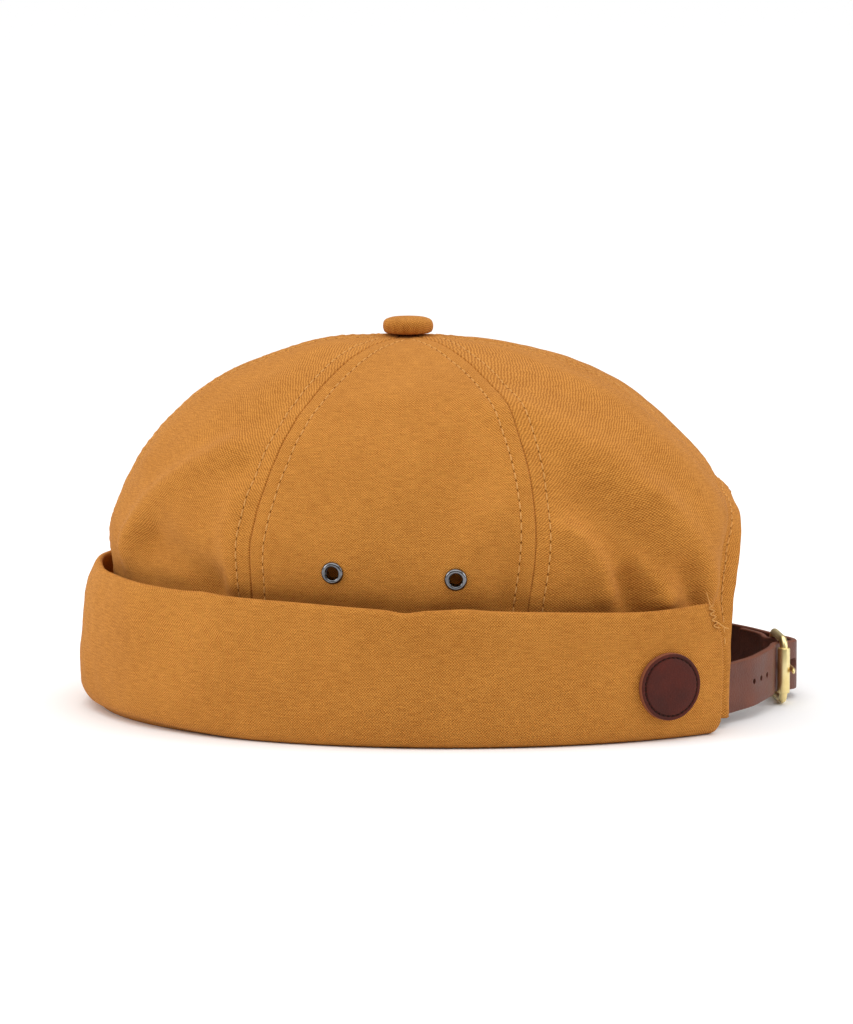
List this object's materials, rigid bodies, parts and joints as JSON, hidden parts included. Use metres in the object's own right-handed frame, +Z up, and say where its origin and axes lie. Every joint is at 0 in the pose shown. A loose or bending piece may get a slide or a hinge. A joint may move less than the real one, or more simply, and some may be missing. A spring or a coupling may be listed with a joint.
{
  "type": "brimless cap",
  "caption": "Brimless cloth cap lying on its rim: gored round crown, deep turned-up cuff, covered top button, side eyelets, leather patch, rear arch with buckled leather strap.",
  "frame": {"origin": "middle of the cap's bounding box in plan, at the height of the surface the rim rests on", "axes": "+Z up, -Y to the front of the cap, +Y to the rear strap, +X to the wearer's left (the side with the patch)"},
  "size_m": [0.176, 0.2146, 0.115],
  "materials": {
    "canvas": "plain-weave cotton canvas, mustard",
    "patch_leather": "dark brown leather, matt",
    "strap_leather": "brown leather, slightly waxed",
    "brass": "polished brass",
    "eyelet_metal": "dark gunmetal plating"
  },
  "bodies": {
    "root": {"panel_front_left": "canvas", "panel_side_left": "canvas", "panel_back_left": "canvas", "panel_back_right": "canvas", "panel_side_right": "canvas", "panel_front_right": "canvas", "cuff": "canvas", "button": "canvas", "eyelet_left_front": "eyelet_metal", "eyelet_left_rear": "eyelet_metal", "eyelet_right_front": "eyelet_metal", "eyelet_right_rear": "eyelet_metal", "patch": "patch_leather", "strap_tail": "strap_leather", "strap_buckle": "strap_leather", "buckle_frame": "brass", "buckle_roller": "brass", "buckle_prong": "brass"}
  },
  "joints": []
}
